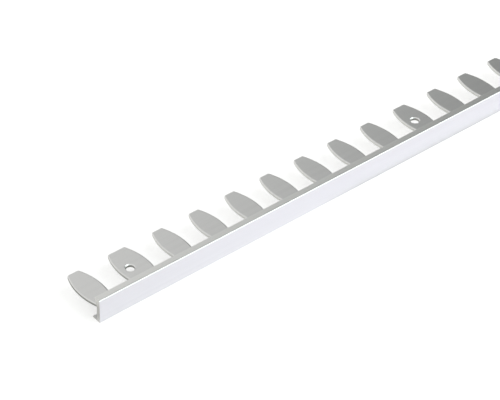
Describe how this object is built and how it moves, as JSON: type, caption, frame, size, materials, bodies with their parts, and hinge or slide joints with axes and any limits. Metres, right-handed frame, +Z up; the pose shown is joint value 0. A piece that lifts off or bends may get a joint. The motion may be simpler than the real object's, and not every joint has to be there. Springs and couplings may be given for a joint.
{
  "type": "aluminium corner profile",
  "caption": "Straight extruded edge profile: a flat visible wall with a thick rim and a short lip, and a punched leg of barrel-shaped tabs, some with a round fixing hole.",
  "frame": {"origin": "near lower corner of the visible face, on the foot's underside", "axes": "+X along the stock, +Y from the visible face towards the tabs' ends, +Z up from the foot to the rim"},
  "size_m": [1.0009, 0.0249, 0.012],
  "materials": {
    "anodised_aluminium": "matt anodised"
  },
  "bodies": {
    "root": {"edge_profile": "anodised_aluminium"}
  },
  "joints": []
}
